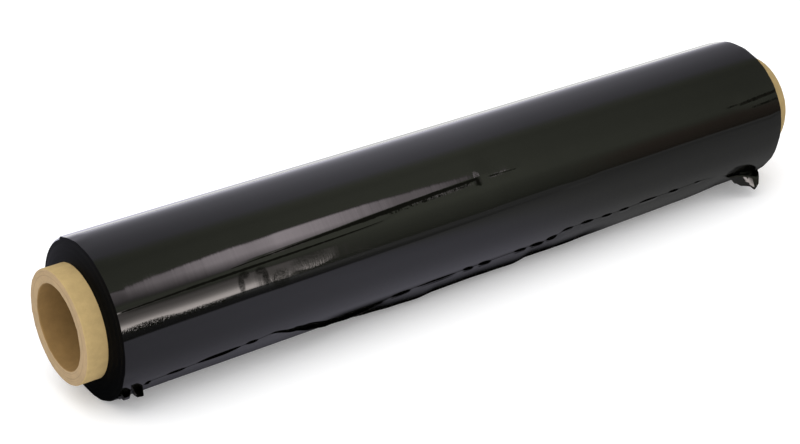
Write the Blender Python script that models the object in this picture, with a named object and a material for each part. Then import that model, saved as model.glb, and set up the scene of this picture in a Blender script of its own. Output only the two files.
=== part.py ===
"""A hand roll of stretch wrap: black film wound tight on a cardboard core.

The roll lies on its side. Its axis runs along X, the near end at -X, and the
origin is on the ground below the axis, halfway along the film. The film's
weight has pressed a small flat spot where it rests. Each end of the film is a
shallow cone, because the inner turns are wider than the outer ones. The outermost
turn comes up the front (-Y) from below and ends there, a little slack, and one
corner of it has flopped outwards.
"""

import math

import bmesh
import bpy
from mathutils import Vector

# Driving dimensions, in metres and degrees.
FILM_WIDTH = 0.500
FILM_RADIUS = 0.04725
FILM_END_SWELL = 0.003  # how much further out the innermost turn reaches at each end
FLAT_SPOT_WIDTH = 0.012
CORE_OUTER_RADIUS = 0.0335
CORE_BORE_RADIUS = 0.0250
CORE_PROUD_NEAR = 0.0157
CORE_PROUD_FAR = 0.0195
CORE_RIM_ROUND = 0.0008
WINDING_GAP = 0.0003

# The slack end of the outermost turn, as one solid with the turns that it covers.
# Angles are round the axis from the front horizontal, downwards.
END_STARTS_BELOW_FRONT = 75.0
END_SKIN = 0.0006
END_SINKS_IN = 0.0006
END_SIDE_GAP = 0.0005
# Along the roll: place, angle of the free edge, and how far the slack film stands off the turns.
END_STATIONS = (
    (-0.250, 34.0, 0.0000),
    (-0.190, 31.0, 0.0002),
    (-0.155, 28.0, 0.0003),
    (-0.097, 47.0, 0.0012),
    (-0.068, 37.0, 0.0028),
    (-0.040, 35.0, 0.0036),
    (0.000, 35.0, 0.0029),
    (0.035, 34.0, 0.0033),
    (0.064, 27.0, 0.0022),
    (0.130, 26.0, 0.0017),
    (0.190, 26.0, 0.0012),
    (0.250, 33.0, 0.0004),
)

# The corner that has flopped outwards and hangs.
CORNER_FROM = 0.205
CORNER_TO = 0.242
CORNER_THICKNESS = 0.0010
CORNER_LEAVES_BELOW_FRONT = 38.0
CORNER_REACH = 0.0125
CORNER_DIP_BELOW_LEVEL = 64.0

# Fineness of the solids.
ROUND_SEGMENTS = 96
END_COLUMNS = 48
END_ROWS = 8
CORNER_COLUMNS = 6

AXIS_HEIGHT = math.sqrt(FILM_RADIUS**2 - (FLAT_SPOT_WIDTH / 2) ** 2)
FILM_BORE_RADIUS = CORE_OUTER_RADIUS + WINDING_GAP
HALF_FILM = FILM_WIDTH / 2


def clear_scene():
    for obj in list(bpy.data.objects):
        bpy.data.objects.remove(obj, do_unlink=True)


def make_material(name, colour, roughness):
    material = bpy.data.materials.new(name)
    material.use_nodes = True
    shader = material.node_tree.nodes["Principled BSDF"]
    shader.inputs["Base Color"].default_value = (*colour, 1.0)
    shader.inputs["Roughness"].default_value = roughness
    shader.inputs["Metallic"].default_value = 0.0
    return material


def make_object(name, mesh_source, material):
    mesh = bpy.data.meshes.new(name)
    mesh_source.to_mesh(mesh)
    mesh_source.free()
    mesh.materials.append(material)
    obj = bpy.data.objects.new(name, mesh)
    bpy.context.scene.collection.objects.link(obj)
    return obj


def smooth_round_sides(obj, sharp_angle=30.0):
    obj.data.shade_smooth()
    obj.data.set_sharp_from_angle(angle=math.radians(sharp_angle))


def outline(radius, flat_half_width):
    """Points (y, z) around the axis, once round from the flat spot's one edge to its other."""
    flat_angle = math.asin(flat_half_width / radius)
    start = -math.pi / 2 + flat_angle
    sweep = 2 * math.pi - 2 * flat_angle
    steps = ROUND_SEGMENTS - 1 if flat_half_width else ROUND_SEGMENTS
    turns = [start + sweep * i / steps for i in range(ROUND_SEGMENTS)]
    return [(radius * math.cos(a), radius * math.sin(a)) for a in turns]


def wound_body(name, profile, flat_half_width, material):
    """A closed body round the X axis.

    The profile is a loop of (x, radius, touches_ground) points. A ring stands at
    each point, and neighbouring rings are joined by quads.
    """
    mesh = bmesh.new()
    rings = []
    for x, radius, touches_ground in profile:
        points = outline(radius, flat_half_width if touches_ground else 0.0)
        rings.append([mesh.verts.new((x, y, z + AXIS_HEIGHT)) for y, z in points])
    for ring, following in zip(rings, rings[1:] + rings[:1]):
        for i in range(ROUND_SEGMENTS):
            j = (i + 1) % ROUND_SEGMENTS
            mesh.faces.new((ring[i], ring[j], following[j], following[i]))
    bmesh.ops.recalc_face_normals(mesh, faces=mesh.faces)
    obj = make_object(name, mesh, material)
    smooth_round_sides(obj)
    return obj


def build_core(material):
    near = -HALF_FILM - CORE_PROUD_NEAR
    far = HALF_FILM + CORE_PROUD_FAR
    rim = CORE_RIM_ROUND
    profile = (
        (near + rim, CORE_OUTER_RADIUS, False),
        (far - rim, CORE_OUTER_RADIUS, False),
        (far, CORE_OUTER_RADIUS - rim, False),
        (far, CORE_BORE_RADIUS + rim, False),
        (far - rim, CORE_BORE_RADIUS, False),
        (near + rim, CORE_BORE_RADIUS, False),
        (near, CORE_BORE_RADIUS + rim, False),
        (near, CORE_OUTER_RADIUS - rim, False),
    )
    return wound_body("cardboard_core", profile, 0.0, material)


def build_film_turns(material):
    profile = (
        (-HALF_FILM, FILM_RADIUS, True),
        (HALF_FILM, FILM_RADIUS, True),
        (HALF_FILM + FILM_END_SWELL, FILM_BORE_RADIUS, False),
        (-HALF_FILM - FILM_END_SWELL, FILM_BORE_RADIUS, False),
    )
    return wound_body("film_roll", profile, FLAT_SPOT_WIDTH / 2, material)


def around(x, radius, degrees_below_front):
    """The point at x, this far from the axis and this far down from the front."""
    below = math.radians(degrees_below_front)
    outwards = Vector((0.0, -math.cos(below), -math.sin(below)))
    return Vector((x, 0.0, AXIS_HEIGHT)) + outwards * radius


def end_at(x):
    """The free edge's angle and the film's slack at x, eased from one station to the next."""
    for left, right in zip(END_STATIONS, END_STATIONS[1:]):
        if x <= right[0]:
            break
    share = min(max((x - left[0]) / (right[0] - left[0]), 0.0), 1.0)
    share = share * share * (3 - 2 * share)
    edge_angle = left[1] + (right[1] - left[1]) * share
    slack = left[2] + (right[2] - left[2]) * share
    return edge_angle, slack


def end_section(x):
    """The slack end's closed outline at x: its skin from below up to the free edge, then back inside."""
    edge_angle, slack = end_at(x)
    outline_points = []
    for row in range(END_ROWS + 1):
        share = row / END_ROWS
        angle = END_STARTS_BELOW_FRONT + (edge_angle - END_STARTS_BELOW_FRONT) * share
        stand_off = END_SKIN + slack * math.sin(math.pi * share)
        outline_points.append(around(x, FILM_RADIUS + stand_off, angle))
    for row in range(END_ROWS, -1, -1):
        angle = END_STARTS_BELOW_FRONT + (edge_angle - END_STARTS_BELOW_FRONT) * row / END_ROWS
        outline_points.append(around(x, FILM_RADIUS - END_SINKS_IN, angle))
    return outline_points


def corner_section(x):
    """The flopped corner's closed outline at x: a thin strip from inside the turns to its tip."""
    dip = math.radians(CORNER_DIP_BELOW_LEVEL)
    outwards = Vector((0.0, -math.cos(dip), -math.sin(dip)))
    across = Vector((0.0, -math.sin(dip), math.cos(dip))) * CORNER_THICKNESS / 2
    root = around(x, FILM_RADIUS - 2 * END_SINKS_IN, CORNER_LEAVES_BELOW_FRONT)
    tip = root + outwards * CORNER_REACH
    return [root - across, tip - across, tip + across, root + across]


def lofted_helper(name, sections, material):
    """A closed body through equal outlines, hidden because another object takes it in."""
    mesh = bmesh.new()
    loops = [[mesh.verts.new(point) for point in section] for section in sections]
    count = len(loops[0])
    for loop, following in zip(loops, loops[1:]):
        for i in range(count):
            j = (i + 1) % count
            mesh.faces.new((loop[i], loop[j], following[j], following[i]))
    mesh.faces.new(loops[0])
    mesh.faces.new(loops[-1])
    bmesh.ops.recalc_face_normals(mesh, faces=mesh.faces)
    helper = make_object(name, mesh, material)
    helper.hide_render = True
    helper.display_type = "WIRE"
    return helper


def evenly(first, last, count):
    return [first + (last - first) * i / count for i in range(count + 1)]


def build_slack_end(material):
    reach = HALF_FILM - END_SIDE_GAP
    sections = [end_section(x) for x in evenly(-reach, reach, END_COLUMNS)]
    return lofted_helper("slack_end_shape", sections, material)


def build_corner(material):
    sections = [corner_section(x) for x in evenly(CORNER_FROM, CORNER_TO, CORNER_COLUMNS)]
    return lofted_helper("flopped_corner_shape", sections, material)


def join(film, helper):
    union = film.modifiers.new("join_" + helper.name, "BOOLEAN")
    union.operation = "UNION"
    union.solver = "EXACT"
    union.object = helper


def main():
    clear_scene()
    kraft = make_material("kraft_cardboard", (0.58, 0.43, 0.24), 0.85)
    black = make_material("black_stretch_film", (0.010, 0.010, 0.010), 0.12)
    build_core(kraft)
    film = build_film_turns(black)
    join(film, build_slack_end(black))
    join(film, build_corner(black))


main()
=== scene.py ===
"""A hand roll of black stretch wrap on a cardboard core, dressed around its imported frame.

The roll lies on its side with its axis along X. The turns of film, the slack end of the
outermost turn and the paper core are each modelled here at the sizes the frame gives, and
stand in for the frame's plain solids. Lengths are in metres and angles in degrees. Angles
round the axis are counted from the front horizontal (-Y), upwards positive.
"""

import logging
import math
from collections.abc import Callable, Iterable, Sequence
from dataclasses import dataclass
from enum import Enum

import bmesh
import bpy
import numpy as np
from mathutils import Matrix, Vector


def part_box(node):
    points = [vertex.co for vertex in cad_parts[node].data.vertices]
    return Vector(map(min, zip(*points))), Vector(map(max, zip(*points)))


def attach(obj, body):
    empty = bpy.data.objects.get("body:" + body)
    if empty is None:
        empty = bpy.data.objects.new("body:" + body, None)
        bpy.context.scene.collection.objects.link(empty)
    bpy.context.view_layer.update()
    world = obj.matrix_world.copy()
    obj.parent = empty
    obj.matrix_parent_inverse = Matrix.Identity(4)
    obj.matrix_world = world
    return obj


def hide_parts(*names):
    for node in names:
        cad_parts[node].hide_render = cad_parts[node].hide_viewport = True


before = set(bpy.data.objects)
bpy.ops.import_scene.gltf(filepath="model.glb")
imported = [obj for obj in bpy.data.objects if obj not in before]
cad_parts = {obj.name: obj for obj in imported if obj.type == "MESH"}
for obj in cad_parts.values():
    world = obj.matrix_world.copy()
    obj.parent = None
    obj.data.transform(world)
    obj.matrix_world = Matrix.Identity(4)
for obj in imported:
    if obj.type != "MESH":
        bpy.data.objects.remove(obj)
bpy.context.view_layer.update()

log = logging.getLogger("stretch_wrap_roll")

Number = float
Operand = "Wire | float"


class Slot(Enum):
    """The record's material slots."""

    KRAFT = "kraft_cardboard"
    FILM = "black_film"


# ---------------------------------------------------------------------------
# Shader building
# ---------------------------------------------------------------------------


class Wire:
    """One output of a shader node. Python's operators on it add Math nodes."""

    def __init__(self, graph: "Graph", socket: bpy.types.NodeSocket) -> None:
        """Keep the socket and the graph it belongs to.

        Args:
            graph: The graph that new nodes go into.
            socket: The output socket whose value this is.
        """
        self.graph = graph
        self.socket = socket

    def __add__(self, other: Operand) -> "Wire":
        """Sum."""
        return self.graph.maths("ADD", self, other)

    __radd__ = __add__

    def __mul__(self, other: Operand) -> "Wire":
        """Product."""
        return self.graph.maths("MULTIPLY", self, other)

    __rmul__ = __mul__

    def __sub__(self, other: Operand) -> "Wire":
        """Difference."""
        return self.graph.maths("SUBTRACT", self, other)

    def __rsub__(self, other: Operand) -> "Wire":
        """Difference with the number first."""
        return self.graph.maths("SUBTRACT", other, self)

    def __truediv__(self, other: Operand) -> "Wire":
        """Quotient."""
        return self.graph.maths("DIVIDE", self, other)

    def __neg__(self) -> "Wire":
        """The value with its sign turned."""
        return self * -1.0

    def __pow__(self, other: Operand) -> "Wire":
        """Power."""
        return self.graph.maths("POWER", self, other)

    def absolute(self) -> "Wire":
        """Size without sign."""
        return self.graph.maths("ABSOLUTE", self, 0.0)

    def smaller(self, other: Operand) -> "Wire":
        """The lesser of the two."""
        return self.graph.maths("MINIMUM", self, other)

    def greater(self, other: Operand) -> "Wire":
        """The greater of the two."""
        return self.graph.maths("MAXIMUM", self, other)

    def sine(self) -> "Wire":
        """Sine of the value in radians."""
        return self.graph.maths("SINE", self, 0.0)

    def step_between(self, low: Number, high: Number) -> "Wire":
        """A smooth rise from 0 at low to 1 at high, or a fall where high is below low.

        Args:
            low: The value that gives 0.
            high: The value that gives 1.

        Returns:
            The eased share.
        """
        share = ((self - low) / (high - low)).greater(0.0).smaller(1.0)
        return share * share * (3.0 - 2.0 * share)


class Graph:
    """A node tree that is built with expressions and one node-making method."""

    def __init__(self, tree: bpy.types.NodeTree) -> None:
        """Take over a tree and empty it.

        Args:
            tree: The node tree of a material or a world.
        """
        self.tree = tree
        tree.nodes.clear()

    def node(
        self,
        kind: str,
        settings: dict[str, object] | None = None,
        sockets: dict[str | int, object] | None = None,
    ) -> bpy.types.Node:
        """Add one node: its settings first, then its sockets' values or links.

        Args:
            kind: The node's type name.
            settings: Attributes of the node, such as an operation.
            sockets: Input sockets by name or number, each a value, a Wire or a socket.

        Returns:
            The new node.
        """
        made = self.tree.nodes.new(kind)
        for name, value in (settings or {}).items():
            setattr(made, name, value)
        for key, value in (sockets or {}).items():
            self.feed(made.inputs[key], value)
        return made

    def feed(self, socket: bpy.types.NodeSocket, value: object) -> None:
        """Give an input socket a value or a link.

        Args:
            socket: The input socket.
            value: A number, a tuple, a Wire or an output socket.
        """
        if isinstance(value, Wire):
            self.tree.links.new(value.socket, socket)
        elif isinstance(value, bpy.types.NodeSocket):
            self.tree.links.new(value, socket)
        else:
            socket.default_value = value

    def maths(self, operation: str, first: Operand, second: Operand) -> Wire:
        """Add a Math node.

        Args:
            operation: The Math node's operation.
            first: Its first value.
            second: Its second value.

        Returns:
            The result.
        """
        made = self.node("ShaderNodeMath", {"operation": operation}, {0: first, 1: second})
        return Wire(self, made.outputs[0])

    def place(self) -> tuple[Wire, Wire, Wire]:
        """The surface point's object coordinates, one wire each."""
        coordinates = self.node("ShaderNodeTexCoord")
        parts = self.node("ShaderNodeSeparateXYZ", None, {0: coordinates.outputs["Object"]})
        return tuple(Wire(self, socket) for socket in parts.outputs)

    def vector(self, x: Operand, y: Operand, z: Operand) -> Wire:
        """A vector from three numbers."""
        made = self.node("ShaderNodeCombineXYZ", None, {0: x, 1: y, 2: z})
        return Wire(self, made.outputs[0])

    def noise(self, where: Wire, detail: Number = 2.0, roughness: Number = 0.5) -> Wire:
        """Perlin noise from 0 to 1, one bump to a unit of the vector.

        Args:
            where: The vector that it is read at.
            detail: How many finer layers are added.
            roughness: How strong the finer layers are.

        Returns:
            The noise value.
        """
        sockets = {"Vector": where, "Scale": 1.0, "Detail": detail, "Roughness": roughness}
        return Wire(self, self.node("ShaderNodeTexNoise", None, sockets).outputs[0])

    def blend(self, share: Operand, first: object, second: object) -> Wire:
        """A colour between two others.

        Args:
            share: 0 for the first and 1 for the second.
            first: A colour or a wire of one.
            second: A colour or a wire of one.

        Returns:
            The mixed colour.
        """
        made = self.node("ShaderNodeMix", {"data_type": "RGBA"}, {0: share, 6: first, 7: second})
        return Wire(self, made.outputs[2])

    def brighten(self, colour: object, level: Wire) -> Wire:
        """A colour made brighter or dimmer.

        Args:
            colour: A colour or a wire of one.
            level: What it is multiplied by.

        Returns:
            The new colour.
        """
        made = self.node("ShaderNodeVectorMath", {"operation": "SCALE"}, {"Scale": level})
        self.feed(made.inputs[0], colour if isinstance(colour, Wire) else tuple(colour)[:3])
        return Wire(self, made.outputs[0])

    def read_off(self, value: Wire, stops: Sequence[tuple[float, float]]) -> Wire:
        """Look a value up on a line through given stops, level beyond both ends.

        Args:
            value: Where to read.
            stops: Rising places and the level at each.

        Returns:
            The level.
        """
        first, last = stops[0][0], stops[-1][0]
        most = max(level for _, level in stops)
        share = (value - first) / (last - first)
        made = self.node("ShaderNodeValToRGB", None, {0: share})
        marks = made.color_ramp.elements
        while len(marks) < len(stops):
            marks.new(0.5)
        for mark, (place, level) in zip(marks, stops):
            mark.position = (place - first) / (last - first)
        for mark, (place, level) in zip(marks, stops):
            mark.color = (level / most, level / most, level / most, 1.0)
        return Wire(self, made.outputs[0]) * most

    def bumped(self, height: Wire) -> Wire:
        """A normal tilted by a height in metres."""
        sockets = {"Strength": 1.0, "Distance": 1.0, "Height": height}
        return Wire(self, self.node("ShaderNodeBump", None, sockets).outputs[0])

    def principled(self, sockets: dict[str | int, object]) -> bpy.types.NodeSocket:
        """Add a Principled shader.

        Args:
            sockets: The shader's input sockets by name.

        Returns:
            Its output.
        """
        return self.node("ShaderNodeBsdfPrincipled", None, sockets).outputs[0]

    def surface(self, shader: bpy.types.NodeSocket) -> None:
        """Make a shader the material's surface.

        Args:
            shader: The shader's output.
        """
        self.node("ShaderNodeOutputMaterial", None, {"Surface": shader})


def new_graph(name: str) -> tuple[bpy.types.Material, Graph]:
    """A new material and its empty graph.

    Args:
        name: The material's name.

    Returns:
        The material and its graph.
    """
    material = bpy.data.materials.new(name)
    material.use_nodes = True
    return material, Graph(material.node_tree)


# ---------------------------------------------------------------------------
# Sizes shared by the pieces
# ---------------------------------------------------------------------------


@dataclass(frozen=True)
class RollSizes:
    """The roll's main sizes, read from the frame's boxes."""

    film_near: float
    film_far: float
    film_radius: float
    core_near: float
    core_far: float
    core_radius: float
    axis_height: float
    end_swell: float = 0.003

    @classmethod
    def from_frame(cls) -> "RollSizes":
        """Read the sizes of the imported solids.

        Returns:
            The sizes.
        """
        film_low, film_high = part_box("film_roll")
        core_low, core_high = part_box("cardboard_core")
        return cls(
            film_near=film_low.x + cls.end_swell,
            film_far=film_high.x - cls.end_swell,
            film_radius=film_high.y,
            core_near=core_low.x,
            core_far=core_high.x,
            core_radius=(core_high.z - core_low.z) / 2,
            axis_height=(core_high.z + core_low.z) / 2,
        )


@dataclass(frozen=True)
class Ripples:
    """A smooth uneven surface over length and angle, made of a few seeded waves."""

    seed: int
    count: int
    shortest: float
    longest: float
    most_turns: int
    height: float

    def at(self, x: np.ndarray, angle: np.ndarray) -> np.ndarray:
        """The height at each place.

        Args:
            x: Places along the roll.
            angle: Angles round it, in radians.

        Returns:
            Heights in metres.
        """
        draw = np.random.default_rng(self.seed)
        total = np.zeros(np.broadcast(x, angle).shape)
        for _ in range(self.count):
            length = draw.uniform(self.shortest, self.longest)
            turns = draw.integers(1, self.most_turns + 1)
            phase = draw.uniform(0, 2 * math.pi)
            total = total + np.cos(2 * math.pi * x / length + turns * angle + phase)
        return total * self.height / math.sqrt(self.count)


def eased(places: Sequence[float], values: Sequence[float], at: np.ndarray) -> np.ndarray:
    """Values eased smoothly from one place to the next.

    Args:
        places: Rising places where values are given.
        values: The value at each.
        at: Where the result is wanted.

    Returns:
        The eased values.
    """
    spots = np.asarray(places)
    after = np.clip(np.searchsorted(spots, at), 1, len(spots) - 1)
    share = np.clip((at - spots[after - 1]) / (spots[after] - spots[after - 1]), 0, 1)
    share = share * share * (3 - 2 * share)
    given = np.asarray(values)
    return given[after - 1] + (given[after] - given[after - 1]) * share


def smooth_step(low: float, high: float, at: np.ndarray) -> np.ndarray:
    """0 below low, 1 above high and eased between; it falls where high is below low."""
    share = np.clip((at - low) / (high - low), 0, 1)
    return share * share * (3 - 2 * share)


# ---------------------------------------------------------------------------
# Finishes
# ---------------------------------------------------------------------------


@dataclass(frozen=True)
class CrinklePatch:
    """A small patch where the film is puckered into fine cross lines."""

    x: float
    angle: float
    half_length: float
    half_angle: float
    height: float


@dataclass(frozen=True)
class FoldShadow:
    """A dark line of painted shade along the roll, where the film is folded under itself and no light gets
    in.

    The line is given as places along the roll with the angle and the width there.
    """

    line: tuple[tuple[float, float, float], ...]
    torn: float = 0.0


@dataclass(frozen=True)
class DarkOval:
    """An oval patch that light doesn't reach: only its rim where it has one, or all speckled."""

    x: float
    angle: float
    half_length: float
    half_angle: float
    solid: float = 0.0
    strength: float = 1.0


@dataclass(frozen=True)
class BlackFilm:
    """Glossy black polyethylene film, as the wound turns show it."""

    axis_height: float
    colour: tuple[float, float, float] = (0.0025, 0.0025, 0.0020)
    index: float = 1.45
    roughness: float = 0.05
    shadows: tuple[FoldShadow, ...] = (
        FoldShadow(((-0.248, 28.2, 1.0), (-0.205, 29.5, 1.6), (-0.176, 30.0, 1.9), (-0.150, 30.3, 1.6),
                    (-0.113, 30.9, 1.2), (-0.092, 31.5, 0.8), (-0.076, 32.2, 0.3))),
        FoldShadow(((-0.178, 33.2, 0.6), (-0.150, 34.4, 1.0), (-0.125, 35.5, 1.6), (-0.105, 36.2, 2.2),
                    (-0.085, 37.0, 3.0), (-0.060, 38.1, 3.2), (-0.040, 39.0, 2.8), (-0.003, 40.1, 2.0))),
        FoldShadow(((-0.072, 35.6, 2.6), (-0.040, 37.0, 3.0), (-0.010, 38.2, 2.6)), 1.0),
        FoldShadow(((-0.0062, 37.4, 4.6), (-0.0022, 37.4, 5.4))),
        FoldShadow(((0.005, 39.0, 1.2), (0.012, 39.0, 1.2)), 0.4),
        FoldShadow(((0.015, 38.6, 0.9), (0.025, 38.4, 0.9)), 0.5),
        FoldShadow(((0.203, 32.3, 1.5), (0.213, 32.5, 1.5)), 0.5),
        FoldShadow(((0.215, 31.8, 2.4), (0.232, 32.8, 2.9), (0.250, 33.8, 2.6)), 0.35),
        FoldShadow(((0.225, 26.5, 1.6), (0.250, 27.6, 1.8)), 0.5),
    )
    ovals: tuple[DarkOval, ...] = (
        DarkOval(-0.1748, 21.0, 0.0026, 8.5, 0.75, 0.80),
        DarkOval(-0.1722, 26.5, 0.0044, 3.4, 0.75, 0.80),
        DarkOval(-0.1618, 26.0, 0.0040, 3.4, 0.75, 0.80),
        DarkOval(-0.1592, 21.0, 0.0026, 8.5, 0.75, 0.85),
        DarkOval(-0.1500, 16.5, 0.0080, 7.5, 0.45, 0.70),
        DarkOval(-0.2340, 15.0, 0.0220, 3.2, 0.0, 1.0),
        DarkOval(-0.1980, 13.8, 0.0300, 2.2, 0.0, 0.9),
        DarkOval(-0.1300, 24.5, 0.0160, 3.0, 0.0, 0.35),
    )
    patches: tuple[CrinklePatch, ...] = (
        CrinklePatch(-0.234, 16.0, 0.022, 2.4, 0.00012),
        CrinklePatch(-0.200, 15.0, 0.020, 1.4, 0.00009),
        CrinklePatch(-0.150, 19.0, 0.009, 5.5, 0.00002),
        CrinklePatch(-0.127, 22.0, 0.017, 6.5, 0.00005),
        CrinklePatch(-0.032, 37.4, 0.032, 2.4, 0.00006),
        CrinklePatch(-0.004, 41.0, 0.003, 6.0, 0.00010),
        CrinklePatch(0.012, 38.8, 0.012, 1.6, 0.00008),
        CrinklePatch(0.226, 29.5, 0.022, 5.0, 0.00005),
    )

    def material(self) -> bpy.types.Material:
        """Build the node material.

        Returns:
            The material.
        """
        material, graph = new_graph("black_stretch_film")
        x, y, z = graph.place()
        angle = graph.maths("ARCTAN2", z - self.axis_height, -y)
        height = self.winding_lines(graph, x, y, z) + self.crinkles(graph, x, angle)
        haze = graph.noise(graph.vector(x * 30.0, y * 60.0, z * 60.0), 3.0)
        film = graph.principled({
            "Base Color": (*self.colour, 1.0),
            "Roughness": self.roughness + 0.04 * haze.step_between(0.45, 0.75),
            "IOR": self.index,
            "Normal": graph.bumped(height),
        })
        painted_fold_shade = graph.principled({
            "Base Color": (0.004, 0.004, 0.003, 1.0), "Roughness": 0.7, "Specular IOR Level": 0.0,
        })
        # Painted shade: where the mask is 1, the glossy film gives way to a dark matt shader.
        mixed = graph.node("ShaderNodeMixShader", None, {0: self.dark(graph, x, angle), 1: film, 2: painted_fold_shade})
        graph.surface(mixed.outputs[0])
        return material

    def dark(self, graph: Graph, x: Wire, angle: Wire) -> Wire:
        """Painted shade where the film is folded under itself.

        Args:
            graph: The material's graph.
            x: Place along the roll.
            angle: Angle round it, in radians.

        Returns:
            1 where shade is painted in the tucks and 0 elsewhere.
        """
        degrees = angle * math.degrees(1.0)
        uneven = graph.noise(graph.vector(x * 260.0, angle * 9.0, 3.0), 3.0, 0.7)
        comb = graph.noise(graph.vector(x * 300.0, angle * 12.0, 7.0), 4.0, 0.8)
        speckle = graph.noise(graph.vector(x * 620.0, angle * 46.0, 0.0), 3.0, 0.75).step_between(0.44, 0.54)
        total = None
        for shadow in self.shadows:
            middle = graph.read_off(x, [(place, at) for place, at, _ in shadow.line])
            width = graph.read_off(x, [(place, wide) for place, _, wide in shadow.line])
            half = width * (0.15 + 0.7 * uneven)
            across = (degrees - middle).absolute() / half
            start, end = shadow.line[0][0], shadow.line[-1][0]
            share = across.step_between(1.15, 0.75) * x.step_between(start - 0.0015, start + 0.0015)
            share = share * x.step_between(end + 0.0015, end - 0.0015)
            if shadow.torn:
                share = share * (1.0 - shadow.torn * comb.step_between(0.56, 0.46))
            total = share if total is None else total.greater(share)
        for oval in self.ovals:
            along = (x - oval.x) / oval.half_length
            across = (degrees - oval.angle) / oval.half_angle
            reach = (along * along + across * across) ** 0.5
            share = reach.step_between(1.0, 0.5) * (speckle * (1.0 - oval.solid) + oval.solid)
            total = total.greater(share * oval.strength)
        return total

    def winding_lines(self, graph: Graph, x: Wire, y: Wire, z: Wire) -> Wire:
        """Faint lines that run round the roll, where the film was stretched as it was wound.

        Args:
            graph: The material's graph.
            x: Place along the roll.
            y: Place across it.
            z: Height.

        Returns:
            Height in metres.
        """
        fine = graph.noise(graph.vector(x * 700.0, y * 9.0, z * 9.0), 2.0)
        broad = graph.noise(graph.vector(x * 90.0, y * 14.0, z * 14.0), 2.0)
        return (fine - 0.5) * 0.000005 + (broad - 0.5) * 0.00003

    def crinkles(self, graph: Graph, x: Wire, angle: Wire) -> Wire:
        """All the puckered patches together.

        Args:
            graph: The material's graph.
            x: Place along the roll.
            angle: Angle round it, in radians.

        Returns:
            Height in metres.
        """
        lines = graph.noise(graph.vector(x * 900.0, angle * 11.0, 0.0), 3.0, 0.7)
        total = None
        for patch in self.patches:
            along = (x - patch.x) / patch.half_length
            across = (angle - math.radians(patch.angle)) / math.radians(patch.half_angle)
            within = (along * along + across * across).step_between(1.0, 0.0)
            share = within * patch.height
            total = share if total is None else total + share
        return total * (lines - 0.5) * 2.0


@dataclass(frozen=True)
class CutFilmEdges:
    """The ends of the roll, where the edges of all the turns show as fine rings."""

    axis_height: float
    colour: tuple[float, float, float] = (0.0014, 0.0015, 0.0016)
    gloss: float = 0.04
    roughness: float = 0.50

    def material(self) -> bpy.types.Material:
        """Build the node material.

        Returns:
            The material.
        """
        material, graph = new_graph("cut_film_edges")
        _, y, z = graph.place()
        up = z - self.axis_height
        radius = (y * y + up * up) ** 0.5
        rings = graph.noise(graph.vector(radius * 2600.0, y * 6.0, up * 6.0), 3.0, 0.6)
        bands = graph.noise(graph.vector(radius * 420.0, y * 4.0, up * 4.0), 2.0)
        tone = bands.step_between(0.35, 0.75)
        lighter = tuple(2.0 * part for part in self.colour)
        graph.surface(graph.principled({
            "Base Color": graph.blend(tone, (*self.colour, 1.0), (*lighter, 1.0)),
            "Roughness": self.roughness + 0.12 * rings,
            "IOR": 1.45,
            "Specular IOR Level": self.gloss,
            "Normal": graph.bumped((rings - 0.5) * 0.00006 + (bands - 0.5) * 0.0001),
        }))
        return material


@dataclass(frozen=True)
class KraftPaper:
    """Brown kraft board, as one face of the tube shows it."""

    name: str
    axis_height: float
    colour: tuple[float, float, float]
    fibres: float = 0.00005
    plies: float = 0.0
    mottle: float = 0.16
    painted_far_shade: float = 0.80

    def material(self) -> bpy.types.Material:
        """Build the node material.

        Returns:
            The material.
        """
        material, graph = new_graph(self.name)
        x, y, z = graph.place()
        up = z - self.axis_height
        radius = (y * y + up * up) ** 0.5
        blotches = graph.noise(graph.vector(x * 160.0, y * 160.0, z * 160.0), 4.0, 0.65)
        flecks = graph.noise(graph.vector(x * 900.0, y * 900.0, z * 900.0), 2.0, 0.6)
        rings = graph.noise(graph.vector(radius * 900.0, y * 9.0, up * 9.0), 2.0, 0.5)
        dark = tuple(part * (1.0 - self.mottle) for part in self.colour)
        base = graph.blend(blotches.step_between(0.25, 0.75), (*dark, 1.0), (*self.colour, 1.0))
        # Painted shade: the board is made darker towards the far end.
        base = graph.brighten(base, 1.0 - (1.0 - self.painted_far_shade) * x.step_between(0.0, 0.25))
        if self.plies:
            lines = rings.step_between(0.52, 0.66) * 0.55
            base = graph.blend(lines, base, (*(0.55 * part for part in self.colour), 1.0))
        speckled = graph.blend(
            flecks.step_between(0.62, 0.80) * 0.25, base, (*(0.5 * part for part in self.colour), 1.0)
        )
        grain = graph.noise(graph.vector(x * 500.0, y * 1400.0, z * 1400.0), 3.0, 0.7)
        graph.surface(graph.principled({
            "Base Color": speckled,
            "Roughness": 0.78 + 0.15 * blotches,
            "IOR": 1.45,
            "Specular IOR Level": 0.3,
            "Normal": graph.bumped(grain * self.fibres + blotches * 0.00006 + rings * self.plies),
        }))
        return material


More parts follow.
